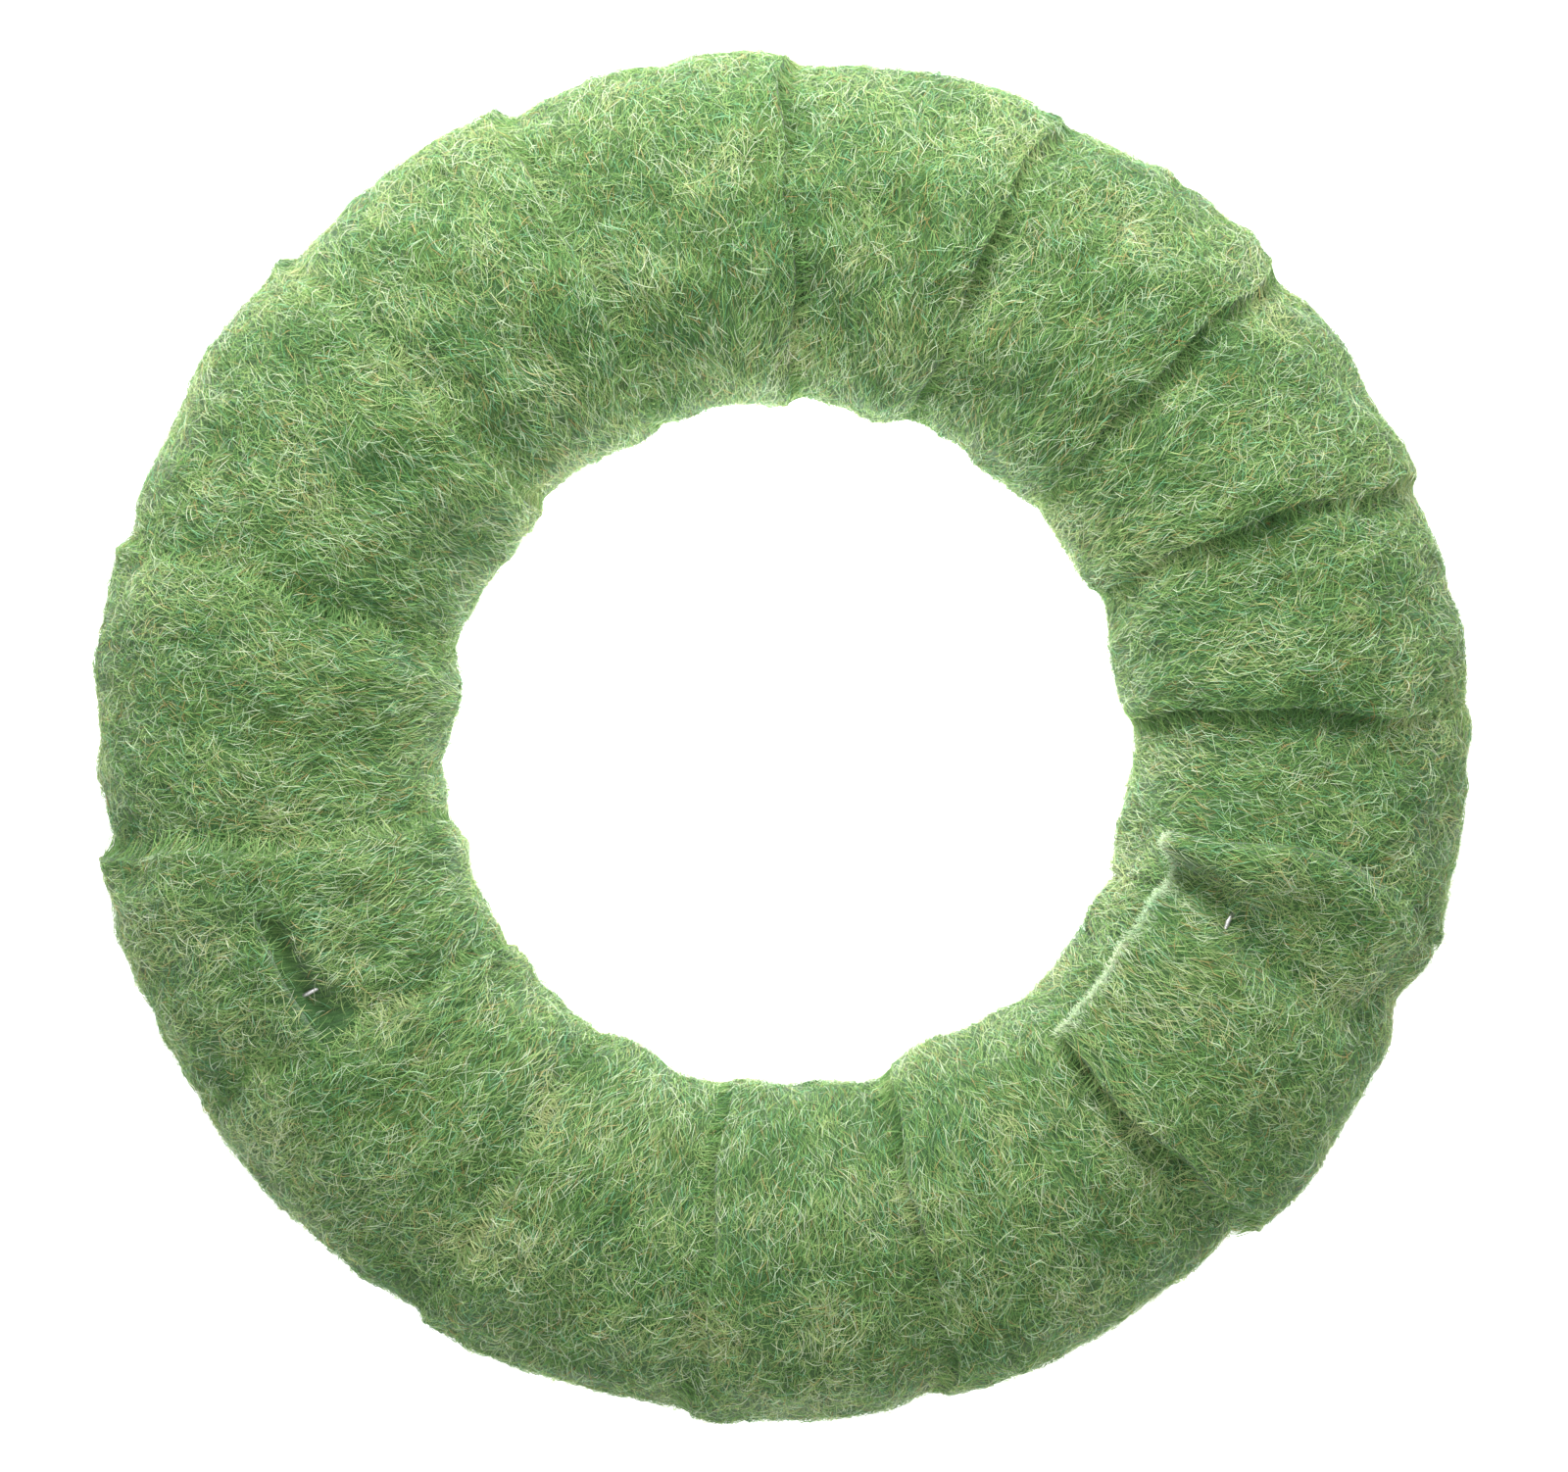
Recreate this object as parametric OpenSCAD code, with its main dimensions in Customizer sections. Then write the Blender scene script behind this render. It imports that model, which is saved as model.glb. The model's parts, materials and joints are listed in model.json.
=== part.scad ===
// A felt-wrapped straw wreath base, lying flat.
// The origin is at the centre of the ring, on the plane it rests on, with +Z up.
// A section of the ring is drawn in a plane through Z: x is the distance from the axis.

/* [Ring] */
// Outer diameter over the lapped edges of the felt
outer_d = 302; // [250:1:370]
// Diameter of the centre hole, inside the lapped edges
hole_d = 150; // [120:1:182]
// Overall height
ring_h = 50; // [41:1:62]
// How much of the round section's underside is pressed flat
flat_depth = 5; // [3:0.5:7]

/* [Felt] */
// Mean thickness of the wrap where one turn shows
wrap_t = 4; // [3:0.1:5]
// Extra height where a turn laps over the turn before it
lap_rise = 2.4; // [1.5:0.1:3]
// Turns of felt round the ring
turns = 15; // [14:1:17]
// Direction of the first lapped edge, in degrees from +X
first_edge = 3; // [0:1:6]
// Angle that each lap covers
lap_angle = 8; // [5:0.5:10]
// Turns wound from the first strip, before the second strip takes over
first_turns = 9; // [8:1:10]
// Angle by which the last turn reaches over the first one
flap_angle = 8; // [5:0.5:12]
// Distance from the hole's edge to the cut end of the last turn
flap_end = 10; // [7:0.5:14]
// Distance from the section's centre out to the cut end of the first strip
tail_end = 8; // [4:0.5:12]

/* [Straw core] */
// Angle over which one handful is spliced onto the next
splice_angle = 20; // [12:1:30]

/* [Binding twine] */
// Diameter of the twine
twine_d = 1.2; // [0.9:0.1:1.6]
// Turns of twine round the straw
twine_turns = 24; // [20:1:28]
// Direction of the first turn at the outer rim, in degrees from +X
twine_phase = 6.5; // [0:0.5:15]

/* [Pins] */
// Diameter of the pin wire
pin_d = 1.1; // [0.9:0.1:1.4]
// Distance between a pin's two legs
pin_w = 10; // [8:0.5:13]
// Length of a pin over its crown
pin_l = 26; // [21:1:32]
// Length of the point on each leg
pin_point = 3; // [2:0.5:4]
// Depth of the crown below the face of the felt
pin_sink = 1.6; // [1.2:0.1:2]

/* [Clearances] */
// Between the felt and the twine, and between one strip and the next
felt_gap = 0.3; // [0.2:0.1:0.5]
// Between the twine and the straw
twine_gap = 0.5; // [0.4:0.1:0.7]
// Between two handfuls of straw at a splice
splice_gap = 0.2; // [0.1:0.1:0.4]
// Round a pin, in the felt and the straw
pin_gap = 0.3; // [0.2:0.1:0.5]

/* [Hidden] */
// Handfuls of straw laid round the ring
BUNDLES = 4;
// Points round half of a section
SECTION_STEPS = 12;
// Points along one turn of twine, and sides of its round
TWINE_STEPS = 24;
TWINE_SIDES = 6;
// Smoothness of the pins
PIN_FN = 32;
// More than any height or radius here
FAR = 400;

// The section is an ellipse about [tube_r, tube_z], cut off flat below.
tube_r = (outer_d + hole_d) / 4;
tube_z = (ring_h - flat_depth) / 2;
tube_a = (outer_d - hole_d) / 4;
tube_b = (ring_h + flat_depth) / 2;

// Depths below the lapped face, from the outside inwards
cavity_inset = lap_rise + wrap_t;
twine_inset = cavity_inset + felt_gap + twine_d / 2;
core_inset = twine_inset + twine_d / 2 + twine_gap;
pin_inset = lap_rise + pin_sink;

// Directions of the felt's edges
turn_pitch = 360 / turns;
join_edge = first_edge + first_turns * turn_pitch;
tail_edge = join_edge - turn_pitch;
last_edge = first_edge + (turns - 2) * turn_pitch;
start_edge = first_edge + (turns - 1) * turn_pitch;
flap_edge = start_edge + flap_angle;
// The felt gap as an angle, at the outer rim
gap_angle = felt_gap / (outer_d / 2) * 180 / PI;
splice_gap_angle = splice_gap / tube_r * 180 / PI;

twine_pitch = 360 / twine_turns;

// Where each pin enters: [direction wanted, angle round the section, turn about its own axis].
// Unturned, the crown lies along the ring. The join pin straddles the join, with a leg in each strip.
START_PIN = [start_edge + 20, 270, 0];
JOIN_PIN = [join_edge - 11, 83, 90];
FIRST_END_PIN = [last_edge + 3, 57, 0];
SECOND_END_PIN = [last_edge + 23, 105, 0];
PINS = [START_PIN, JOIN_PIN, FIRST_END_PIN, SECOND_END_PIN];

// A point of the section, at an angle round it and a depth below the lapped face
function section_at(angle, inset, floor_z) = [
    tube_r + (tube_a - inset) * cos(angle),
    max(floor_z, tube_z + (tube_b - inset) * sin(angle))
];

// The angle at which the section meets its flat underside
function flat_angle(inset, floor_z) = asin((tube_z - floor_z) / (tube_b - inset));

// The closed section at a depth, cut off flat at floor_z
function section_points(inset, floor_z) =
    let (low = -flat_angle(inset, floor_z), sweep = 180 - 2 * low)
    [for (i = [0:2 * SECTION_STEPS]) section_at(low + sweep * i / (2 * SECTION_STEPS), inset, floor_z)];

module section(inset, floor_z) {
    polygon(section_points(inset, floor_z));
}

// A stretch of ring from one direction to another, with the 2D children as its section
module stretch(from, to) {
    rotate([0, 0, from]) rotate_extrude(angle = to - from, $fn = 180) children();
}

// ---- Straw core ----

// Everything above a height, or below it, on one side of the axis
module above(z) {
    translate([0, z]) square([FAR, FAR]);
}

module below(z) {
    translate([0, z - FAR]) square([FAR, FAR]);
}

// One handful: its end lies on top of the start of the next handful
module straw_bundle(index) {
    span = 360 / BUNDLES;
    from = index * span;
    to = from + span - splice_gap_angle;
    color("goldenrod")
    difference() {
        stretch(from, to + splice_angle) section(core_inset, core_inset - lap_rise);
        stretch(from - 1, from + splice_angle) above(tube_z - splice_gap / 2);
        stretch(to, to + splice_angle + 1) below(tube_z + splice_gap / 2);
        pin_channels();
    }
}

// ---- Binding twine ----

// Direction of one turn of twine where it passes an angle round the section
function twine_direction(turn, angle) = twine_phase + twine_pitch * (turn + angle / 360);

// A point at the middle of the twine, in space
function twine_point(i) =
    let (
        angle = 360 * i / TWINE_STEPS,
        direction = twine_direction(0, angle),
        p = section_at(angle, twine_inset, twine_inset - lap_rise)
    )
    [p[0] * cos(direction), p[0] * sin(direction), p[1]];

function unit(v) = v / norm(v);

// One ring of points round the twine, square to its run
function twine_ring(i) =
    let (
        angle = 360 * i / TWINE_STEPS,
        direction = twine_direction(0, angle),
        along = unit(twine_point(i + 1) - twine_point(i - 1)),
        outward = [cos(angle) * cos(direction), cos(angle) * sin(direction), sin(angle)],
        side = unit(cross(along, outward)),
        up = cross(side, along)
    )
    [for (j = [0:TWINE_SIDES - 1])
        twine_point(i) + twine_d / 2 * (cos(360 * j / TWINE_SIDES) * side + sin(360 * j / TWINE_SIDES) * up)];

module binding_twine() {
    rings = twine_turns * TWINE_STEPS;
    points = [for (i = [0:rings - 1]) each twine_ring(i)];
    faces = [for (i = [0:rings - 1], j = [0:TWINE_SIDES - 1])
        let (
            here = i * TWINE_SIDES,
            next = ((i + 1) % rings) * TWINE_SIDES,
            k = (j + 1) % TWINE_SIDES
        )
        each [[here + j, next + j, next + k], [here + j, next + k, here + k]]];
    color("khaki") polyhedron(points, faces);
}

// ---- Felt strips ----

// The space inside the wrap, round the bound straw
module cavity() {
    stretch(0, 360) section(cavity_inset, wrap_t);
}

// A stretch of wrap, filled up: single, or raised where a turn laps over the one before
module single_wrap(from, to) {
    stretch(from, to) section(lap_rise, 0);
}

module lap(edge) {
    stretch(edge, edge + lap_angle) section(0, 0);
}

// The upper, inner quarter of the ring at the join, where the second strip begins
module join_quarter(gap) {
    stretch(tail_edge + gap_angle, join_edge + gap_angle + gap) intersection() {
        above(tube_z + gap);
        square([tube_r + tail_end - gap, FAR]);
    }
}

// The top of the last turn: it laps over the turn before, and ends short of the hole
module last_turn_layer() {
    stretch(last_edge, flap_edge) difference() {
        section(0, 0);
        below(tube_z);
        square([hole_d / 2 + flap_end, FAR]);
    }
}

module felt_strip_first() {
    color("olivedrab")
    difference() {
        union() {
            single_wrap(start_edge - 360 + gap_angle, join_edge);
            for (i = [0:first_turns - 1]) lap(first_edge + i * turn_pitch);
        }
        cavity();
        join_quarter(0);
        pin_channels();
    }
}

module felt_strip_second() {
    color("darkolivegreen")
    difference() {
        union() {
            single_wrap(join_edge + gap_angle, start_edge);
            for (i = [first_turns:turns - 3]) lap(first_edge + i * turn_pitch);
            last_turn_layer();
            intersection() {
                single_wrap(tail_edge, join_edge + 4 * gap_angle);
                join_quarter(felt_gap);
            }
        }
        cavity();
        stretch(start_edge, flap_edge + lap_angle) section(lap_rise - felt_gap, 0);
        pin_channels();
    }
}

// ---- Pins ----

// The nearest direction to the one wanted at which the pin passes between two turns of twine
function between_twine(pin) =
    let (
        turn = round((pin[0] - twine_phase) / twine_pitch - pin[1] / 360 - 0.5),
        middle = twine_direction(turn + 0.5, pin[1]),
        reach = pin_w / 2 * cos(pin[2]) + (pin_d + twine_d) / 2 + pin_gap + twine_gap,
        room = twine_pitch / 2 - reach / section_at(pin[1], twine_inset, pin_sink)[0] * 180 / PI
    )
    middle + max(-room, min(room, pin[0] - middle));

// Puts a pin's crown in the felt and aims its legs at the middle of the section
module at_pin(pin) {
    p = section_at(pin[1], pin_inset, pin_sink);
    run = [p[0] - tube_r, p[1] - tube_z];
    rotate([0, 0, between_twine(pin)])
        translate([p[0], 0, p[1]])
            rotate([0, atan2(run[0], run[1]), 0]) rotate([0, 0, pin[2]]) children();
}

// A hairpin of wire: the crown's top is at the origin and the legs point down
module pin_wire(wire_d, tip) {
    bend = pin_w / 2;
    leg = pin_l - bend - pin_point;
    translate([0, 0, -bend]) {
        rotate([90, 0, 90]) rotate_extrude(angle = 180, $fn = 2 * PIN_FN)
            translate([bend, 0]) circle(d = wire_d, $fn = PIN_FN);
        for (side = [-1, 1]) translate([0, side * bend, 0]) {
            translate([0, 0, -leg]) cylinder(d = wire_d, h = leg, $fn = PIN_FN);
            translate([0, 0, -leg - pin_point])
                cylinder(d1 = tip, d2 = wire_d, h = pin_point, $fn = PIN_FN);
        }
    }
}

module pin(place) {
    color("lightslategray") at_pin(place) pin_wire(pin_d, pin_d / 4);
}

module pin_channels() {
    for (place = PINS) at_pin(place) pin_wire(pin_d + 2 * pin_gap, pin_d + 2 * pin_gap);
}

module start_pin() { pin(START_PIN); }
module join_pin() { pin(JOIN_PIN); }
module first_end_pin() { pin(FIRST_END_PIN); }
module second_end_pin() { pin(SECOND_END_PIN); }

straw_bundle(0);  // straw_bundle_1
straw_bundle(1);  // straw_bundle_2
straw_bundle(2);  // straw_bundle_3
straw_bundle(3);  // straw_bundle_4
binding_twine();
felt_strip_first();
felt_strip_second();
start_pin();
join_pin();
first_end_pin();
second_end_pin();
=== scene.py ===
"""A felt-wrapped straw wreath base.

Two wound wool-felt strips with their pile and, inside them, the straw, the twine and the pins.
"""

import json
import math
from collections import namedtuple

import bmesh
import bpy
import numpy as np
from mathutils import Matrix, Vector


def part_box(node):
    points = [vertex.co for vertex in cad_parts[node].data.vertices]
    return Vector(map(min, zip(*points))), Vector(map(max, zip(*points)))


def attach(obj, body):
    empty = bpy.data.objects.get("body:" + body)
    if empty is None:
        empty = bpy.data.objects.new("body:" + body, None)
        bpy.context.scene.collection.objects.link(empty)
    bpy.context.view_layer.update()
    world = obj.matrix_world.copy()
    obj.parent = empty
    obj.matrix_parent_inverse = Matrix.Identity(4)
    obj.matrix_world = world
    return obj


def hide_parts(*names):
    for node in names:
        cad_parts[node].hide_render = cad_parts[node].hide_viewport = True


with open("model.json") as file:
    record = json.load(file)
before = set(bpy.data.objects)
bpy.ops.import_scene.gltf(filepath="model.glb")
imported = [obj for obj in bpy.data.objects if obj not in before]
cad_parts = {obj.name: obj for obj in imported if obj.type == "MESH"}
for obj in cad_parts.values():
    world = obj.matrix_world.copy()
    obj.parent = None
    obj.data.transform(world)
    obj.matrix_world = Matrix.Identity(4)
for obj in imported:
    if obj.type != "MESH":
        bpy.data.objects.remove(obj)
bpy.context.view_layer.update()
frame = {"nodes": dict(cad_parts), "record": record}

MM = 0.001

# ---------------------------------------------------------------- sizes

# The section's middle: a circle round the ring's axis, at one height
REST_FACE = next(m for m in frame["record"]["mounts"] if m["name"] == "rest_face")
TUBE_R = math.hypot(*REST_FACE["pos_m"][:2])
TUBE_Z = 22.5 * MM

# The wound straw under the felt, as an ellipse about that middle
TWINE_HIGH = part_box("binding_twine")[1]
# Room left between one layer and the next
ROOM = 0.4 * MM
BED_A = TWINE_HIGH.x - TUBE_R + ROOM
BED_B = TWINE_HIGH.z - TUBE_Z + ROOM

FELT_T = 2.6 * MM
FELT_W = 75 * MM
# How far the felt's outer face stands over the straw bed, on the whole and at the least
USUAL = 5 * MM
LOWEST = 1.8 * MM
# How much narrower the felt is gathered towards the hole
GATHER = 11 * MM
# Height taken where no turn covers the bed
UNCOVERED = 4.0 * MM
# The felt's broad and small lumps: how long they are, how high they swell, and the first of their seeds
LUMPS = ((26 * MM, 0.95 * MM, 5), (11 * MM, 0.55 * MM, 40))
# Where the underside is pressed flat, how much more a higher layer is pressed, and how softly
FLAT_FROM = 4.6 * MM
FLAT_SHARE = 0.55
FLAT_SOFT = 1.2 * MM

# Each turn of felt, in the order it is wound. In degrees: the direction of its lower edge where it
# crosses the top of the ring, and how far that edge leans from the outer rim to the inner one. In
# millimetres: how high the edge stands over the turn before, and how far the turn bulges at the outer rim
# and into the hole.
Turn = namedtuple("Turn", "edge lean lift rim hole")
TURNS = [
    Turn(-48.0, 0.0, 1.6, 0.0, -0.4),
    Turn(-22.0, 1.0, 2.4, 1.8, -0.4),
    Turn(3.2, 1.2, 3.7, 1.0, 0.9),
    Turn(24.5, 2.0, 4.3, -0.2, 0.8),
    Turn(44.0, -0.5, 4.6, 0.0, -0.2),
    Turn(67.5, 1.5, 4.4, -0.9, -0.4),
    Turn(89.5, -0.8, 3.0, 0.6, 0.2),
    Turn(113.5, -1.5, 3.8, 0.9, 0.2),
    Turn(136.5, 0.3, 4.2, 0.8, 0.6),
    Turn(164.5, 1.4, 4.8, 0.0, -0.2),
    Turn(192.0, 2.6, 4.4, -0.2, 0.4),
    Turn(214.5, 2.8, 2.8, 0.4, 0.3),
    Turn(238.5, 0.4, 3.0, 0.2, 0.1),
    Turn(262.0, -0.8, 4.4, 0.0, 0.2),
    Turn(286.0, 1.8, 4.6, -0.8, 1.0),
    Turn(313.2, -1.2, 4.8, 0.6, 0.0),
    Turn(340.0, 0.0, 3.0, 0.0, 0.0),
]
LAST = 15
JOIN = 10

# Angles round the section: 0 at the outer rim, 90 on top, 180 at the inner rim
UNDERSIDE = -70.0
CROSS_FROM, CROSS_TO = 200.0, 290.0
TAIL_END = 79.0
HEAD_START = 46.0
FLAP_END = 132.0

# Directions: where the slit at the join starts and ends, where its pocket is, and where the last turn's end
# starts and stops lying on the felt
SLIT_START, SLIT_END = 197, 213
POCKET = 210.6
FLAP_START, FLAP_STOP = 313, 346


# ---------------------------------------------------------------- shape of the wound felt


def smooth(x):
    """0 below 0, 1 above 1, and an easy curve between."""
    x = np.clip(x, 0.0, 1.0)
    return x * x * (3 - 2 * x)


def bump(x, middle, width):
    return np.exp(-(((x - middle) / width) ** 2))


def waves(points, wavelength, seed, count=14):
    """Soft random lumps of about that size, from -1 to 1."""
    rng = np.random.default_rng(seed)
    runs = rng.normal(size=(count, 3))
    runs *= (rng.uniform(0.7, 1.5, count) * 2 * math.pi / wavelength / np.linalg.norm(runs, axis=1))[:, None]
    phases = rng.uniform(0, 2 * math.pi, count)
    total = np.zeros(points.shape[:-1])
    for run, phase in zip(runs, phases):
        total += np.sin(points @ run + phase)
    return total / math.sqrt(count / 2) / 2


def edge(turn, s):
    """Direction of a turn's lower edge, at an angle round the section."""
    here = TURNS[turn]
    after = TURNS[min(turn + 1, len(TURNS) - 1)]
    wander = 0.50 * np.sin(np.radians(s * 3.1 + 47 * turn)) + 0.32 * np.sin(np.radians(s * 7.3 + 91 * turn))
    leaning = here.lean * np.clip((s - 90) / 90, -1.2, 1.2)
    across = smooth((s - CROSS_FROM) / (CROSS_TO - CROSS_FROM))
    return here.edge + leaning * (1 - across) + (after.edge - here.edge) * across + wander


def radius_at(s):
    """How far the felt's face is from the ring's axis."""
    return TUBE_R + (BED_A + USUAL) * np.cos(np.radians(s))


def around_at(s):
    """How fast one moves round the section with its angle, in metres per radian."""
    a = np.radians(s)
    return np.hypot((BED_A + USUAL) * np.sin(a), (BED_B + USUAL) * np.cos(a))


def width_at(turn, s):
    """How many degrees of the ring a turn of felt spans: the felt is gathered towards the inner rim."""
    width = FELT_W - GATHER + GATHER * np.cos(np.radians(s))
    span = np.degrees(width / radius_at(s))
    if turn == LAST:
        # its leading edge bulges forward on top and hangs back at the outer rim
        span = span * (1 - 0.14 * smooth((s - 60) / 78))
        span = span + 2.4 + 2.5 * bump(s, 92, 22) - 2.5 * (1 - smooth((s - 15) / 35))
    return span


def place(direction, s, height):
    """The point at a direction, an angle round the section and a height over the straw bed."""
    a, d = np.radians(s), np.radians(direction)
    r = TUBE_R + (BED_A + height) * np.cos(a)
    z = TUBE_Z + (BED_B + height) * np.sin(a)
    floor = FLAT_FROM - FLAT_SHARE * height
    z = 0.5 * (z + floor + np.sqrt((z - floor) ** 2 + FLAT_SOFT * FLAT_SOFT)) - 0.3 * FLAT_SOFT
    return np.stack([r * np.cos(d), r * np.sin(d), np.maximum(z, 0.1 * MM)], axis=-1)


def outward(direction, s):
    """Which way the surface faces there."""
    a, d = np.radians(s), np.radians(direction)
    nr, nz = np.cos(a) / BED_A, np.sin(a) / BED_B
    length = np.hypot(nr, nz)
    nr, nz = nr / length, nz / length
    return np.stack([nr * np.cos(d), nr * np.sin(d), nz], axis=-1)


def flap_relief(w, s):
    """The last turn: a fold along its leading edge, a valley behind the fold, and an end that stands up."""
    towards_hole = smooth((s - 10) / 100)
    on_top = smooth((s - 25) / 40)
    lift = 1.3 * on_top + 1.5 * smooth((w - 0.25) / 0.25) * on_top
    middle = 0.62 + 0.22 * smooth((s - 75) / 55) + 0.18 * (1 - smooth((s - 20) / 35))
    valley = (2.4 + 3.6 * towards_hole) * bump(w, middle, 0.075)
    fold = (2.0 + 2.8 * towards_hole) * bump(w, 0.93, 0.09)
    end = 1.0 * smooth((s - FLAP_END + 30) / 25)
    return (lift - valley + fold + end) * MM


def join_relief(direction, s):
    """The join: the first strip's end lies on the second's start, with a slit and a pocket between them."""
    tail = 1.7 * (1 - smooth((s - TAIL_END) / 2.5))
    slit_here = smooth((direction - SLIT_START) / 4) * (1 - smooth((direction - SLIT_END) / 2))
    slit = 4.2 * slit_here * bump(s, TAIL_END + 4, 4.0)
    pocket = 3.6 * bump(direction, POCKET, 2.6) * bump(s, TAIL_END + 8, 7)
    return (tail - slit - pocket) * MM


def under_flap(direction, s):
    """How far the felt is pressed in where the last turn's end lies on it."""
    here = direction % 360
    along = smooth((here - FLAP_START) / 5) * (1 - smooth((here - FLAP_STOP) / 5))
    return 1.5 * MM * along * smooth((s - FLAP_END + 12) / 12) * (1 - smooth((s - 165) / 15))


def turn_height(turn, direction, s):
    """Height of one turn's outer face over the straw bed, where it isn't covered."""
    this = TURNS[turn]
    cos_s = np.cos(np.radians(s))
    start = edge(turn, s)
    pitch = edge(min(turn + 1, len(TURNS) - 1), s) - start
    x = (direction - start) / pitch
    height = (5.15 - 0.20 * cos_s) * MM
    height = height + 1.3 * MM * np.cos(np.radians(direction - 135)) * np.abs(cos_s)
    height = height + this.lift * MM * np.clip(1 - x, 0, 1) ** 1.25 * (0.82 - 0.16 * np.abs(cos_s))
    height = height + (this.rim * smooth(cos_s) + this.hole * smooth(-cos_s)) * MM
    middle = place(direction, s, USUAL)
    # a felt edge is soft and round, and presses down the turn that it lies on, here more and there less
    uneven = np.clip(1 + 0.7 * waves(middle, 34 * MM, 300), 0.4, 1.5)
    soft = 0.36 if turn == LAST else 0.48
    rounding = (soft - 0.18 * cos_s**2) * this.lift * (1 - smooth((x + 0.02) / 0.20))
    depth = 1.4
    if turn == LAST - 1:
        depth = depth + 1.6 * (1 - smooth((s - FLAP_END + 16) / 14))
    pressed = depth * uneven * smooth((x - 0.72) / 0.28) * (1 - 0.5 * cos_s**2)
    height = height - (rounding + pressed) * MM
    for size, swell, seed in LUMPS:
        height = height + swell * waves(middle, size, seed + turn)
    # gathers run along the wrap, deeper towards the hole
    gathers = np.sin(np.radians(direction * 21 + 60 * np.sin(np.radians(s * 1.3 + 70 * turn))))
    height = height + (0.10 + 0.32 * smooth((s - 70) / 90) * smooth((260 - s) / 60)) * MM * gathers
    if turn == JOIN:
        height = height + join_relief(direction, s)
    if turn == LAST:
        height = height + flap_relief((direction - start) / width_at(turn, s), s)
    else:
        height = height - under_flap(direction, s)
    return np.maximum(height, LOWEST)


def covers(turn, direction, s):
    """Where a turn of felt lies, at directions that are already counted on from its own edge."""
    start = edge(turn, s)
    inside = (direction >= start) & (direction < start + width_at(turn, s))
    if turn == LAST:
        inside &= s < FLAP_END
    return inside


def top_turn(direction, s):
    """The turn that shows at each place, and the direction counted on to match that turn's edge."""
    s = (s - UNDERSIDE) % 360 + UNDERSIDE
    best = np.full(s.shape, -1)
    counted = np.array(direction, float)
    for turn in range(LAST + 1):
        start = edge(turn, s)
        d = start + (direction - start) % 360
        on = covers(turn, d, s)
        best = np.where(on, turn, best)
        counted = np.where(on, d, counted)
    return best, counted, s


def shown_height(direction, s):
    """Height of whatever turn shows at each place."""
    best, counted, s = top_turn(direction, s)
    height = np.full(s.shape, UNCOVERED)
    for turn in range(LAST + 1):
        mine = best == turn
        if mine.any():
            height[mine] = turn_height(turn, counted[mine], s[mine])
    return height


# ---------------------------------------------------------------- felt strips

# How finely a ribbon is divided: strips across its width, and degrees round the section along it
ACROSS = 28
STEP = 3.6
# Length of felt in one turn
TURN_LENGTH = 205 * MM
# Where the second strip's start dives under the first strip's end
DIVE = FELT_T + 0.6 * MM


def wind(name, first, first_s, last, last_s):
    """A flat ribbon of felt wound round the ring, from an angle on one turn to an angle on another."""
    sweep = 360 * (last - first) + last_s - first_s
    along = int(sweep / STEP)
    bm = bmesh.new()
    bmesh.ops.create_grid(bm, x_segments=along, y_segments=ACROSS, size=0.5)
    mesh = bpy.data.meshes.new(name)
    bm.to_mesh(mesh)
    bm.free()
    flat = np.empty(len(mesh.vertices) * 3)
    mesh.vertices.foreach_get("co", flat)
    flat = flat.reshape(-1, 3)
    u, w = flat[:, 0] + 0.5, flat[:, 1] + 0.5
    total = first * 360 + first_s + u * sweep
    turns = np.floor((total - UNDERSIDE) / 360).astype(int)
    s = total - turns * 360
    spots = np.zeros((len(u), 3))
    for turn in range(first, last + 1):
        mine = turns == turn
        if not mine.any():
            continue
        sm = s[mine]
        direction = edge(turn, sm) + w[mine] * width_at(turn, sm)
        height = turn_height(turn, direction, sm)
        best, counted, _ = top_turn(direction, sm)
        for over in range(turn + 1, LAST + 1):
            under = best == over
            if under.any():
                lid = turn_height(over, counted[under], sm[under]) - FELT_T - ROOM
                layers_between = 1 if turn == 0 and over == LAST else 0
                height[under] = np.minimum(height[under], lid - layers_between * FELT_T)
        if turn == JOIN and last == LAST:
            height = height - DIVE * (1 - smooth((sm - TAIL_END + 6) / 10))
        spots[mine] = place(direction, sm, np.maximum(height, LOWEST - 0.3 * MM * (best != turn)))
    mesh.vertices.foreach_set("co", spots.ravel())
    layer = mesh.uv_layers.new(name="ribbon")
    corners = np.empty(len(mesh.loops), int)
    mesh.loops.foreach_get("vertex_index", corners)
    length = (last - first + (last_s - first_s) / 360) * TURN_LENGTH
    ribbon = np.stack([u * length, w * FELT_W], axis=1)[corners]
    layer.uv.foreach_set("vector", ribbon.astype(np.float32).ravel())
    mesh.polygons.foreach_set("use_smooth", np.ones(len(mesh.polygons), bool))
    strip = bpy.data.objects.new(name, mesh)
    bpy.context.scene.collection.objects.link(strip)
    face_out(mesh)
    thick = strip.modifiers.new("felt_thickness", "SOLIDIFY")
    thick.thickness = FELT_T
    thick.offset = -1
    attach(strip, "root")
    return strip, length


def face_out(mesh):
    """Turns the faces over if they look inwards."""
    middle = mesh.polygons[len(mesh.polygons) // 2]
    c, n = middle.center, middle.normal
    r = math.hypot(c.x, c.y)
    towards = ((r - TUBE_R) * (n.x * c.x + n.y * c.y) / r) + (c.z - TUBE_Z) * n.z
    if towards < 0:
        mesh.flip_normals()


# ---------------------------------------------------------------- pile


# One kind of wool fibre. In millimetres, from least to most: its length, its width and the height it
# rises. In radians: how far it strays from the way of the wrap, and how much it bends. Then the points
# along it, the share of fibres that point onwards along the wrap, how far they are turned from the wrap,
# in radians, and how much of its root's height a fibre keeps where it stands out free over an edge.
Fibre = namedtuple(
    "Fibre",
    "length width rise stray bend points onward turned free",
    defaults=(0.5, 0.0, 0.0),
)


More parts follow.
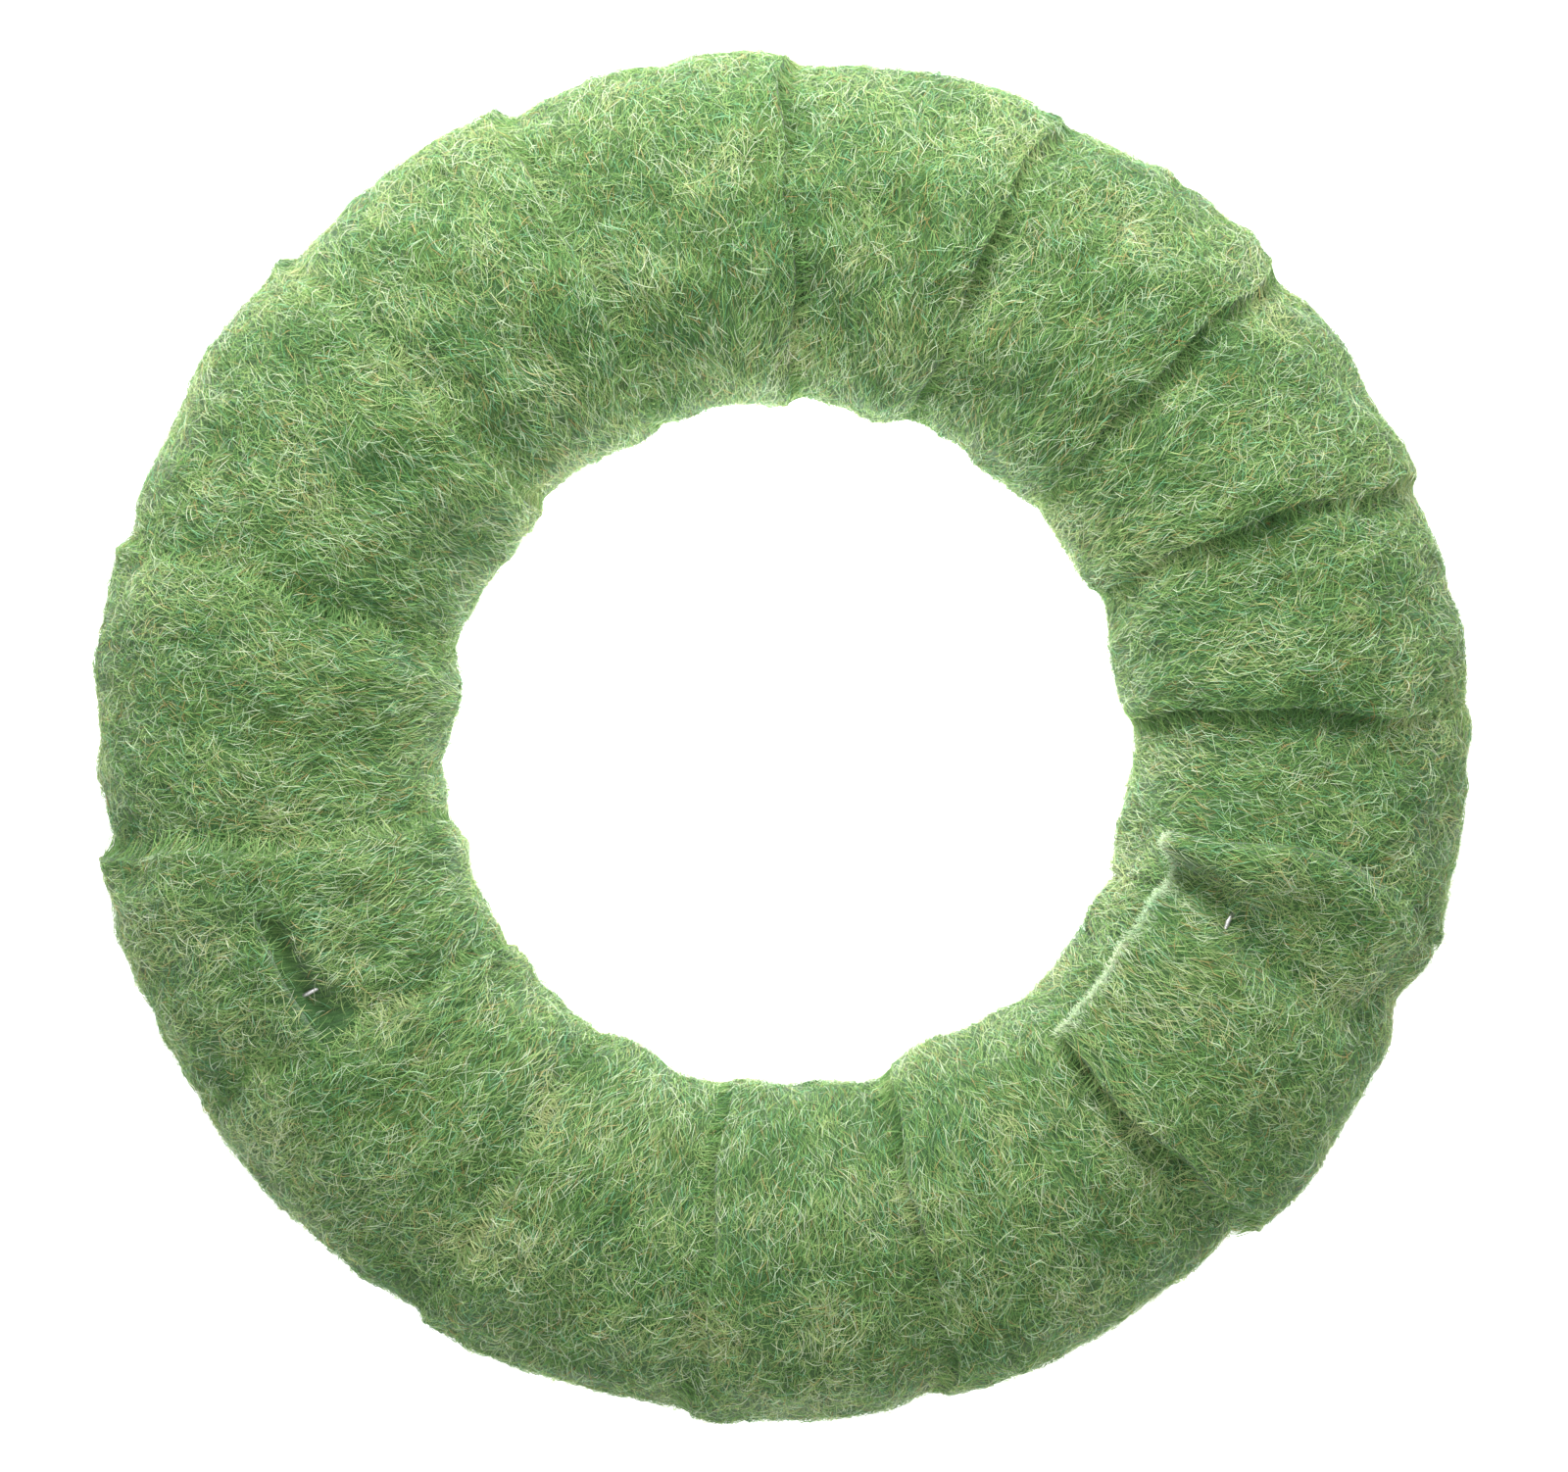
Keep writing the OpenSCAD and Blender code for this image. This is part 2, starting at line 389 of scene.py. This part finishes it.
def bare(direction, s):
    """How bare the felt is of pile: it is thin in the slit at the join and beside the last turn's edge, so
    that the darkened felt shows as painted shade in the slit and as a painted shadow beside the edge.
    """
    direction = direction % 360
    slit_here = smooth((direction - (SLIT_START + 1)) / 3) * (1 - smooth((direction - SLIT_END) / 2))
    slit = slit_here * bump(s, TAIL_END + 4, 3)
    pocket = bump(direction, POCKET - 0.3, 3.0) * bump(s, TAIL_END + 9, 7)
    # beside the last turn's edge the bare felt shows as that edge's painted shadow
    beside = bump(direction, edge(LAST, s) - 1.2, 1.2) * smooth((s - 50) / 20) * (1 - smooth((s - 118) / 14))
    return 0.85 * np.clip(slit + pocket, 0, 1) + 0.45 * beside


def root_places(rng, count, turns, clumps, under_share=0.35):
    """Directions and angles where fibres start, in thick and thin patches of those turns' showing felt."""
    found_d, found_s = [], []
    have = 0
    while have < count:
        n = count * 2
        s = rng.uniform(UNDERSIDE, UNDERSIDE + 360, n)
        direction = rng.uniform(0, 360, n)
        share = radius_at(s) * around_at(s) / ((TUBE_R + BED_A + USUAL) * (BED_A + USUAL))
        below = np.sin(np.radians(s)) < -0.45
        share = share * np.where(below, under_share, 1.0)
        spots = place(direction, s, np.full(n, USUAL))
        share = share * np.clip(0.65 + 0.36 * waves(spots, 15 * MM, clumps), 0.12, 1.0)
        best, _, _ = top_turn(direction, s)
        keep = (rng.uniform(0, 1, n) < share) & np.isin(best, turns)
        found_d.append(direction[keep])
        found_s.append(s[keep])
        have += int(keep.sum())
    return np.concatenate(found_d)[:count], np.concatenate(found_s)[:count]


def cut_end_places(rng, count):
    """Directions and angles along the cut end of the last turn."""
    s = FLAP_END - rng.uniform(0.2, 2.5, count)
    direction = edge(LAST, s) + rng.uniform(0.0, 1.0, count) * width_at(LAST, s)
    return direction, s


def edge_places(rng, count, turns):
    """Directions and angles just inside the lower edges of those turns."""
    s = rng.uniform(-45, 225, count)
    direction = np.empty(count)
    for i, turn in enumerate(turns):
        mine = np.arange(count) % len(turns) == i
        direction[mine] = edge(turn, s[mine]) + np.abs(rng.normal(0, 0.9, mine.sum()))
    keep = (top_turn(direction, s)[0] >= min(turns)) & (s < FLAP_END)
    keep |= (direction % 360 < 300) | (direction % 360 > 350)
    return direction[keep], s[keep]


def trace(rng, direction, s, fibre):
    """Where each fibre runs: its points, and which way the felt faces under them."""
    count = len(s)
    root = place(direction, s, np.full(count, USUAL))
    # fibres in one place lie alike, in locks, and stray more on the outer half of the ring
    loose = 1.25 - 0.55 * smooth((s - 60) / 70)
    comb = 0.55 * waves(root, 21 * MM, 900) + 0.55 * waves(root, 7 * MM, 901)
    heading = (comb + rng.normal(0, 1, count) * fibre.stray) * loose
    heading = heading + np.where(rng.uniform(size=count) < fibre.onward, 0, math.pi) + fibre.turned
    bend = rng.normal(0, fibre.bend, count)
    long = rng.uniform(*fibre.length, count) * MM
    rise = (fibre.rise[0] + (fibre.rise[1] - fibre.rise[0]) * rng.uniform(0, 1, count) ** 2) * MM
    rise = np.minimum(rise, 0.8 * long)
    step = np.sqrt(long**2 - rise**2) / (fibre.points - 1)
    tip_up = rng.uniform(0, 1, count)
    directions, angles, rises = [], [], []
    for i in range(fibre.points):
        u = i / (fibre.points - 1)
        arch = np.sin(math.pi * min(u * 0.9 + 0.06, 1.0)) ** 0.8
        rises.append(rise * (arch * (1 - tip_up) + u**1.2 * tip_up) - 0.25 * MM * (1 - u) ** 3)
        directions.append(direction)
        angles.append(s)
        here = heading + bend * (u - 0.5)
        s = s + np.degrees(step * np.cos(here) / around_at(s))
        direction = direction + np.degrees(step * np.sin(here) / radius_at(s))
    directions, angles, rises = np.stack(directions, 1), np.stack(angles, 1), np.stack(rises, 1)
    keep = rng.uniform(0, 1, count) > bare(directions, angles).max(axis=1)
    directions, angles, rises = directions[keep], angles[keep], rises[keep]
    height = shown_height(directions, angles)
    # a fibre bridges a step in the felt and doesn't drop down it
    if fibre.free > 0:
        height = np.maximum(height, height[:, :1] * np.linspace(1, fibre.free, fibre.points))
    else:
        height[:, 1:-1] = np.maximum(height[:, 1:-1], (height[:, :-2] + height[:, 2:]) / 2)
    spine = place(directions, angles, height + rises)
    return root[keep], spine, outward(directions, angles)


def lay_pile(name, material, rng, places, fibre):
    """A coat of fine wool fibres, each a thin tapered ribbon."""
    points = fibre.points
    root, spine, out = trace(rng, *places, fibre)
    count = len(root)
    run = np.gradient(spine, axis=1)
    run /= np.linalg.norm(run, axis=2, keepdims=True) + 1e-12
    side = np.cross(run, out)
    side /= np.linalg.norm(side, axis=2, keepdims=True) + 1e-12
    up = np.cross(side, run)
    roll = rng.uniform(-1.15, 1.15, count)[:, None, None]
    side = side * np.cos(roll) + up * np.sin(roll)
    taper = 0.45 + 0.55 * np.sin(math.pi * np.minimum(0.15 + 0.75 * np.linspace(0, 1, points), 1))
    taper[-1] = 0.15
    wide = rng.uniform(*fibre.width, count) * MM
    half = side * (wide[:, None] * taper[None, :] / 2)[..., None]
    verts = np.stack([spine - half, spine + half], axis=2).reshape(-1, 3)
    verts[:, 2] = np.maximum(verts[:, 2], 0)
    # a row of four-sided faces along each fibre
    base = (np.arange(count) * points * 2)[:, None]
    first = base + np.arange(points - 1)[None, :] * 2
    quads = np.stack([first, first + 1, first + 3, first + 2], axis=2).reshape(-1, 4)
    mesh = bpy.data.meshes.new(name)
    mesh.vertices.add(len(verts))
    mesh.vertices.foreach_set("co", verts.ravel())
    mesh.loops.add(quads.size)
    mesh.loops.foreach_set("vertex_index", quads.ravel())
    mesh.polygons.add(len(quads))
    mesh.polygons.foreach_set("loop_start", np.arange(len(quads)) * 4)
    mesh.update(calc_edges=True)
    # where a fibre's colour comes from: across is its own shade, up is how far along it
    patch = 0.5 + 0.24 * waves(root, 24 * MM, 700) + 0.20 * waves(root, 8 * MM, 701)
    shade = np.clip(patch + rng.normal(0, 0.16, count), 0.02, 0.97)
    across = np.stack([shade, shade + 0.004], axis=1)[:, None, :].repeat(points, axis=1).reshape(-1)
    along = np.linspace(0.01, 0.99, points)[None, :, None].repeat(count, axis=0).repeat(2, axis=2).reshape(-1)
    uv = np.stack([across, along], axis=1)[quads.ravel()]
    layer = mesh.uv_layers.new(name="OFBake")
    layer.uv.foreach_set("vector", uv.astype(np.float32).ravel())
    mesh.materials.append(material)
    coat = bpy.data.objects.new(name, mesh)
    bpy.context.scene.collection.objects.link(coat)
    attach(coat, "root")
    return coat


# ---------------------------------------------------------------- straw

STEM_D = 3.6 * MM
STEM_PITCH = 4.0 * MM
# The rows of round stems nest
ROW_PITCH = STEM_PITCH * 0.866
# How far the stems' middles stay inside the bed, how much a stem wanders, and the lengths it is bent in
STEM_INSET = 3.4 * MM
STEM_WANDER = 0.15 * MM
STEM_LENGTHS = 11
# The stems above the middle start this much further round, in degrees, so that the handfuls are spliced
SPLICE = 20


def straw_handful(name, start, seed):
    """A quarter ring of straw: stems side by side, cut at uneven lengths."""
    rng = np.random.default_rng(seed)
    data = bpy.data.curves.new(name, "CURVE")
    data.dimensions = "3D"
    data.bevel_depth = STEM_D / 2
    data.bevel_resolution = 1
    data.use_fill_caps = True
    half_a, half_b = BED_A - STEM_INSET, BED_B - STEM_INSET
    for row in range(-6, 7):
        up = row * ROW_PITCH
        for column in range(-8, 9):
            out = (column + 0.5 * (row % 2)) * STEM_PITCH
            if (out / half_a) ** 2 + (up / half_b) ** 2 > 1:
                continue
            from_d = start + (SPLICE if row > 0 else 0) + rng.uniform(-1.5, 1.5)
            to_d = from_d + 90 + rng.uniform(-2.0, 0.0)
            spline = data.splines.new("POLY")
            spline.points.add(STEM_LENGTHS)
            for i, point in enumerate(spline.points):
                d = math.radians(from_d + (to_d - from_d) * i / STEM_LENGTHS)
                r = TUBE_R + out + rng.normal(0, STEM_WANDER)
                z = TUBE_Z + up + rng.normal(0, STEM_WANDER)
                point.co = (r * math.cos(d), r * math.sin(d), max(z, STEM_D), 1)
                point.radius = 1.0 - 0.25 * rng.uniform()
    drawn = bpy.data.objects.new(name + "_drawn", data)
    bpy.context.scene.collection.objects.link(drawn)
    bpy.context.view_layer.update()
    mesh = bpy.data.meshes.new_from_object(drawn)
    bpy.data.objects.remove(drawn)
    mesh.name = name
    mesh.polygons.foreach_set("use_smooth", np.ones(len(mesh.polygons), bool))
    handful = bpy.data.objects.new(name, mesh)
    bpy.context.scene.collection.objects.link(handful)
    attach(handful, "root")
    return handful


# ---------------------------------------------------------------- materials


def new_material(name):
    material = bpy.data.materials.new(name)
    material.use_nodes = True
    tree = material.node_tree
    tree.nodes.clear()
    output = tree.nodes.new("ShaderNodeOutputMaterial")
    return material, tree, output


def node(tree, kind, **values):
    made = tree.nodes.new(kind)
    for key, value in values.items():
        if key in made.inputs:
            made.inputs[key].default_value = value
        else:
            setattr(made, key, value)
    return made


def ramp(tree, stops):
    made = tree.nodes.new("ShaderNodeValToRGB")
    band = made.color_ramp
    while len(band.elements) < len(stops):
        band.elements.new(0.5)
    for element, (at, colour) in zip(band.elements, stops):
        element.position = at
        element.color = (*colour, 1)
    return made


def multiply(tree, one, other):
    """One colour darkened or tinted by the other."""
    mixed = node(tree, "ShaderNodeMix", data_type="RGBA", blend_type="MULTIPLY")
    mixed.inputs[0].default_value = 1.0
    tree.links.new(one, mixed.inputs[6])
    tree.links.new(other, mixed.inputs[7])
    return mixed.outputs[2]


def add_relief(tree, shader, height, strength, distance):
    """Fine relief on a surface, from a pattern's height."""
    relief = node(tree, "ShaderNodeBump", Strength=strength, Distance=distance)
    tree.links.new(height, relief.inputs["Height"])
    tree.links.new(relief.outputs[0], shader.inputs["Normal"])


def srgb(red, green, blue):
    """A colour as a painter names it, 0 to 255, in the light units that shaders use."""
    def one(c):
        c /= 255
        return c / 12.92 if c <= 0.04045 else ((c + 0.055) / 1.055) ** 2.4
    return one(red), one(green), one(blue)


def fibre_material(name, stops, root_shade=0.72, through=0.30):
    """Wool fibre: its colour runs across the map, is darkened towards the root as painted shade and a little
    lightened at the tip as painted light, and some light comes through it.
    """
    material, tree, output = new_material(name)
    uv = node(tree, "ShaderNodeUVMap", uv_map="OFBake")
    split = node(tree, "ShaderNodeSeparateXYZ")
    colours = ramp(tree, stops)
    # painted shade: darker down at the root, where the pile shades itself, and slightly lighter at the tip as
    # painted light
    painted_root_shade_ramp = ramp(tree, [(0.0, (root_shade,) * 3), (0.55, (1, 1, 1)), (1.0, (1.06, 1.06, 1.06))])
    wool = node(tree, "ShaderNodeBsdfPrincipled", Roughness=0.62)
    wool.inputs["Sheen Weight"].default_value = 0.15
    wool.inputs["Sheen Roughness"].default_value = 0.5
    wool.inputs["Specular IOR Level"].default_value = 0.35
    glow = node(tree, "ShaderNodeBsdfTranslucent")
    both = node(tree, "ShaderNodeMixShader", Fac=through)
    link = tree.links.new
    link(uv.outputs[0], split.inputs[0])
    link(split.outputs[0], colours.inputs[0])
    link(split.outputs[1], painted_root_shade_ramp.inputs[0])
    shade = multiply(tree, colours.outputs[0], painted_root_shade_ramp.outputs[0])
    link(shade, wool.inputs["Base Color"])
    link(shade, glow.inputs["Color"])
    link(wool.outputs[0], both.inputs[1])
    link(glow.outputs[0], both.inputs[2])
    link(both.outputs[0], output.inputs[0])
    return material


def felt_material():
    """Pressed wool under the pile: matted streaks along the ribbon, mottled in several greens, darkened as
    painted shade for where it shows between the fibres and in the slit.
    """
    material, tree, output = new_material("pressed_wool")
    link = tree.links.new
    uv = node(tree, "ShaderNodeUVMap", uv_map="ribbon")
    streaks = node(tree, "ShaderNodeMapping")
    streaks.inputs["Scale"].default_value = (230, 1100, 1)
    link(uv.outputs[0], streaks.inputs[0])
    fibres = node(tree, "ShaderNodeTexNoise", Scale=1.0, Detail=5.0, Roughness=0.7, Distortion=1.2)
    link(streaks.outputs[0], fibres.inputs["Vector"])
    place_in = node(tree, "ShaderNodeTexCoord")
    patches = node(tree, "ShaderNodeTexNoise", Scale=55.0, Detail=3.0, Roughness=0.6)
    link(place_in.outputs["Object"], patches.inputs["Vector"])
    # the felt's own greens, darkened as painted shade: they stand in for the shade down between the fibres
    # and in the slit at the join
    felt_greens_with_painted_shade = ramp(tree, [(0.25, srgb(28, 50, 22)), (0.5, srgb(54, 86, 40)), (0.72, srgb(94, 126, 68))])
    link(fibres.outputs[0], felt_greens_with_painted_shade.inputs[0])
    tint = ramp(tree, [(0.3, (0.86, 1.0, 1.1)), (0.5, (1, 1, 1)), (0.7, (1.14, 1.02, 0.72))])
    link(patches.outputs[0], tint.inputs[0])
    wool = node(tree, "ShaderNodeBsdfPrincipled", Roughness=0.9)
    wool.inputs["Specular IOR Level"].default_value = 0.2
    wool.inputs["Sheen Weight"].default_value = 0.25
    link(multiply(tree, felt_greens_with_painted_shade.outputs[0], tint.outputs[0]), wool.inputs["Base Color"])
    add_relief(tree, wool, fibres.outputs[0], 0.8, 0.8 * MM)
    link(wool.outputs[0], output.inputs[0])
    return material


def round_the_ring(tree, along, across):
    """Coordinates that run round the ring, out from its axis and up, scaled by those two numbers."""
    link = tree.links.new
    where = node(tree, "ShaderNodeTexCoord")
    split = node(tree, "ShaderNodeSeparateXYZ")
    link(where.outputs["Object"], split.inputs[0])
    turn = node(tree, "ShaderNodeMath", operation="ARCTAN2")
    link(split.outputs[1], turn.inputs[0])
    link(split.outputs[0], turn.inputs[1])
    flat = node(tree, "ShaderNodeCombineXYZ")
    link(split.outputs[0], flat.inputs[0])
    link(split.outputs[1], flat.inputs[1])
    reach = node(tree, "ShaderNodeVectorMath", operation="LENGTH")
    link(flat.outputs[0], reach.inputs[0])
    joined = node(tree, "ShaderNodeCombineXYZ")
    link(turn.outputs[0], joined.inputs[0])
    link(reach.outputs["Value"], joined.inputs[1])
    link(split.outputs[2], joined.inputs[2])
    scaled = node(tree, "ShaderNodeMapping")
    scaled.inputs["Scale"].default_value = (along, across, across)
    link(joined.outputs[0], scaled.inputs[0])
    return scaled.outputs[0]


def straw_material():
    """Dry wheat straw: glossy golden stems, each a little different, with fine ribs along them."""
    material, tree, output = new_material("dry_straw")
    link = tree.links.new
    ribs = node(tree, "ShaderNodeTexNoise", Scale=1.0, Detail=3.0, Roughness=0.6)
    link(round_the_ring(tree, 12, 2600), ribs.inputs["Vector"])
    stems = node(tree, "ShaderNodeTexNoise", Scale=1.0, Detail=2.0)
    link(round_the_ring(tree, 5, 260), stems.inputs["Vector"])
    colour = ramp(tree, [(0.3, srgb(150, 116, 58)), (0.5, srgb(196, 164, 94)), (0.7, srgb(226, 204, 142))])
    link(stems.outputs[0], colour.inputs[0])
    shade = ramp(tree, [(0.3, (0.78, 0.74, 0.66)), (0.7, (1.05, 1.05, 1.05))])
    link(ribs.outputs[0], shade.inputs[0])
    skin = node(tree, "ShaderNodeBsdfPrincipled", Roughness=0.42)
    link(multiply(tree, colour.outputs[0], shade.outputs[0]), skin.inputs["Base Color"])
    add_relief(tree, skin, ribs.outputs[0], 0.5, 0.2 * MM)
    link(skin.outputs[0], output.inputs[0])
    return material


def twine_material():
    """Jute twine: twisted brown fibres with pale hairs."""
    material, tree, output = new_material("jute_twine")
    link = tree.links.new
    where = node(tree, "ShaderNodeTexCoord")
    twist = node(tree, "ShaderNodeTexWave", Scale=420.0, Distortion=3.0, Detail=3.0)
    link(where.outputs["Object"], twist.inputs["Vector"])
    hairs = node(tree, "ShaderNodeTexNoise", Scale=1400.0, Detail=4.0)
    link(where.outputs["Object"], hairs.inputs["Vector"])
    colour = ramp(tree, [(0.0, srgb(112, 86, 52)), (0.6, srgb(162, 132, 88)), (1.0, srgb(196, 172, 126))])
    link(twist.outputs["Fac"], colour.inputs[0])
    shade = ramp(tree, [(0.3, (0.75, 0.73, 0.7)), (0.7, (1.1, 1.1, 1.08))])
    link(hairs.outputs[0], shade.inputs[0])
    jute = node(tree, "ShaderNodeBsdfPrincipled", Roughness=0.85)
    link(multiply(tree, colour.outputs[0], shade.outputs[0]), jute.inputs["Base Color"])
    add_relief(tree, jute, twist.outputs["Fac"], 0.7, 0.4 * MM)
    link(jute.outputs[0], output.inputs[0])
    return material


def wire_material():
    """Bright drawn steel wire: fine scratches and a few dull spots."""
    material, tree, output = new_material("drawn_steel_wire")
    link = tree.links.new
    where = node(tree, "ShaderNodeTexCoord")
    scratches = node(tree, "ShaderNodeMapping")
    scratches.inputs["Scale"].default_value = (2500, 2500, 300)
    link(where.outputs["Object"], scratches.inputs[0])
    marks = node(tree, "ShaderNodeTexNoise", Scale=1.0, Detail=4.0)
    link(scratches.outputs[0], marks.inputs["Vector"])
    colour = ramp(tree, [(0.3, srgb(150, 150, 150)), (0.7, srgb(206, 206, 204))])
    link(marks.outputs[0], colour.inputs[0])
    dull = ramp(tree, [(0.3, (0.42, 0.42, 0.42)), (0.7, (0.22, 0.22, 0.22))])
    link(marks.outputs[0], dull.inputs[0])
    steel = node(tree, "ShaderNodeBsdfPrincipled", Metallic=1.0)
    link(colour.outputs[0], steel.inputs["Base Color"])
    link(dull.outputs[0], steel.inputs["Roughness"])
    add_relief(tree, steel, marks.outputs[0], 0.25, 0.05 * MM)
    link(steel.outputs[0], output.inputs[0])
    return material


def paint(node_name, material):
    """Gives a CAD node a better material."""
    for slot in frame["nodes"][node_name].material_slots:
        slot.material = material


# ---------------------------------------------------------------- studio


def floor_plane():
    """A lit white table top: it glows brightest in the hole and fades to even light under the ring."""
    mesh = bpy.data.meshes.new("floor")
    bm = bmesh.new()
    bmesh.ops.create_grid(bm, x_segments=1, y_segments=1, size=3.0)
    bm.to_mesh(mesh)
    bm.free()
    floor = bpy.data.objects.new("floor", mesh)
    bpy.context.scene.collection.objects.link(floor)
    material, tree, output = new_material("lit_white_table")
    table = node(tree, "ShaderNodeBsdfPrincipled", Roughness=0.9)
    table.inputs["Base Color"].default_value = (0.92, 0.92, 0.92, 1)
    table.inputs["Emission Color"].default_value = (1, 1, 1, 1)
    where = node(tree, "ShaderNodeTexCoord")
    reach = node(tree, "ShaderNodeVectorMath", operation="DISTANCE")
    reach.inputs[1].default_value = (0, 0.028, 0)
    glow = node(tree, "ShaderNodeMapRange")
    glow.inputs["From Min"].default_value = 0.050
    glow.inputs["From Max"].default_value = 0.085
    glow.inputs["To Min"].default_value = 5.0
    glow.inputs["To Max"].default_value = 1.0
    tree.links.new(where.outputs["Object"], reach.inputs[0])
    tree.links.new(reach.outputs["Value"], glow.inputs["Value"])
    tree.links.new(glow.outputs[0], table.inputs["Emission Strength"])
    tree.links.new(table.outputs[0], output.inputs[0])
    mesh.materials.append(material)
    floor.location.z = -0.2 * MM


def area_light(name, at, aim, size, power):
    """A square soft lamp that shines from one place at another."""
    data = bpy.data.lights.new(name, "AREA")
    data.shape = "SQUARE"
    data.size = size
    data.energy = power
    lamp = bpy.data.objects.new(name, data)
    lamp.location = at
    lamp.rotation_euler = (Vector(aim) - Vector(at)).to_track_quat("-Z", "Y").to_euler()
    bpy.context.scene.collection.objects.link(lamp)


def hole_light():
    """A small lamp in the hole that lights the inner rim."""
    data = bpy.data.lights.new("hole_light", "POINT")
    data.energy = 0.12
    data.shadow_soft_size = 0.025
    lamp = bpy.data.objects.new("hole_light", data)
    lamp.location = (0, 0.034, 0.034)
    lamp.visible_camera = False
    bpy.context.scene.collection.objects.link(lamp)


def studio():
    """The table, three soft lamps and even light all round."""
    floor_plane()
    hole_light()
    area_light("key_light", (-0.08, 0.62, 0.38), (0, 0, 0.02), 0.35, 11.5)
    area_light("top_light", (0, 0.1, 1.6), (0, 0, 0), 1.4, 9.0)
    world = bpy.data.worlds.new("studio_air")
    world.use_nodes = True
    air = world.node_tree.nodes["Background"]
    air.inputs[0].default_value = (1, 1, 1, 1)
    air.inputs[1].default_value = 0.97
    bpy.context.scene.world = world
    bpy.context.scene.view_settings.view_transform = "Standard"


def camera():
    """Straight above the ring, looking down."""
    view_width = 345.7 * MM
    distance = 1.6
    sensor = 36
    data = bpy.data.cameras.new("camera")
    data.sensor_width = sensor
    data.lens = sensor * distance / view_width
    data.clip_end = 20
    eye = bpy.data.objects.new("camera", data)
    eye.location = (0.0, 0.95 * MM, TUBE_Z + distance)
    bpy.context.scene.collection.objects.link(eye)
    bpy.context.scene.camera = eye


# ---------------------------------------------------------------- the wreath put together

camera()
studio()

felt = felt_material()
first_strip, first_length = wind("first_felt_winding", 0, -60, JOIN, TAIL_END)
second_strip, second_length = wind("second_felt_winding", JOIN, HEAD_START, LAST, FLAP_END)
for strip in (first_strip, second_strip):
    strip.data.materials.append(felt)
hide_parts("felt_strip_first")
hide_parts("felt_strip_second")

MOSS = fibre_material(
    "moss_wool",
    [
        (0.0, srgb(56, 98, 46)),
        (0.35, srgb(94, 140, 70)),
        (0.6, srgb(128, 165, 95)),
        (0.85, srgb(160, 180, 117)),
        (1.0, srgb(182, 190, 136)),
    ],
    root_shade=0.62,
)
PALE = fibre_material(
    "pale_wool",
    [
        (0.0, srgb(160, 194, 154)),
        (0.5, srgb(190, 208, 172)),
        (1.0, srgb(212, 218, 188)),
    ],
    root_shade=0.78,
    through=0.35,
)
SEA = fibre_material(
    "sea_green_wool",
    [
        (0.0, srgb(66, 128, 84)),
        (0.5, srgb(102, 160, 112)),
        (1.0, srgb(144, 192, 148)),
    ],
)
BROWN = fibre_material(
    "brown_wool",
    [
        (0.0, srgb(142, 118, 66)),
        (0.5, srgb(170, 148, 92)),
        (1.0, srgb(194, 178, 122)),
    ],
)
DOWN = fibre_material(
    "down_wool",
    [
        (0.0, srgb(158, 190, 110)),
        (0.5, srgb(188, 214, 140)),
        (1.0, srgb(212, 226, 170)),
    ],
    root_shade=0.85,
    through=0.65,
)

# The coats of pile: how many fibres the first strip gets, and how many coats of them
COATS = {
    "moss_pile": (MOSS, 24000, 4, Fibre((2.5, 6.5), (0.10, 0.22), (0.2, 1.2), 0.62, 0.45, 4)),
    "pale_pile": (PALE, 24000, 1, Fibre((2.5, 6.5), (0.08, 0.15), (0.5, 1.8), 0.75, 0.65, 5)),
    "sea_pile": (SEA, 15000, 1, Fibre((2.5, 6.5), (0.10, 0.20), (0.2, 1.4), 0.65, 0.45, 4)),
    "brown_pile": (BROWN, 7500, 1, Fibre((2.5, 6), (0.08, 0.15), (0.3, 1.4), 0.65, 0.5, 4)),
    "down_pile": (DOWN, 36000, 1, Fibre((2, 4.5), (0.05, 0.11), (0.8, 3.4), 0.90, 0.7, 3)),
}
CUT_END = Fibre((1.5, 3.5), (0.08, 0.14), (0.2, 1.1), 0.55, 1.0, 4, 0.85, 0.0, 0.8)
CUT_END_COUNT = 2000
OVER_EDGE = Fibre((3, 7), (0.10, 0.20), (0.2, 0.9), 0.75, 0.8, 4, 1.0, -math.pi / 2, 0.5)
OVER_EDGE_COUNT = 14000
DENSE = 1.0
STRIP_TURNS = {"first": range(0, JOIN + 1), "second": range(JOIN + 1, LAST + 1)}
# The second strip is half as long as the first
STRIP_SHARE = {"first": 1.0, "second": 0.5}

pile = {"first": [], "second": []}
for part, turns in STRIP_TURNS.items():
    for seed, (name, (material, count, coats, fibre)) in enumerate(COATS.items()):
        lots = max(1, round(coats * STRIP_SHARE[part]))
        many = int(count * coats / lots * STRIP_SHARE[part] * DENSE)
        for lot in range(lots):
            rng = np.random.default_rng(10 * seed + lot)
            places = root_places(rng, many, list(turns), 500 + seed)
            pile[part].append(lay_pile(f"{name}_{part}_{lot + 1}", material, rng, places, fibre))
    rng = np.random.default_rng(80)
    many = int(OVER_EDGE_COUNT * STRIP_SHARE[part] * DENSE)
    places = edge_places(rng, many, [turn for turn in turns if turn > 1])
    pile[part].append(lay_pile(f"edge_pile_{part}", MOSS, rng, places, OVER_EDGE))
rng = np.random.default_rng(90)
pile["second"].append(lay_pile("cut_end_fringe", PALE, rng, cut_end_places(rng, CUT_END_COUNT), CUT_END))

STRAW = straw_material()
for i in range(4):
    handful = straw_handful(f"straw_handful_{i + 1}", 90 * i, 60 + i)
    handful.data.materials.append(STRAW)
    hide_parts(f"straw_bundle_{i + 1}")
paint("binding_twine", twine_material())
WIRE = wire_material()
for pin in ("start_pin", "join_pin", "first_end_pin", "second_end_pin"):
    paint(pin, WIRE)
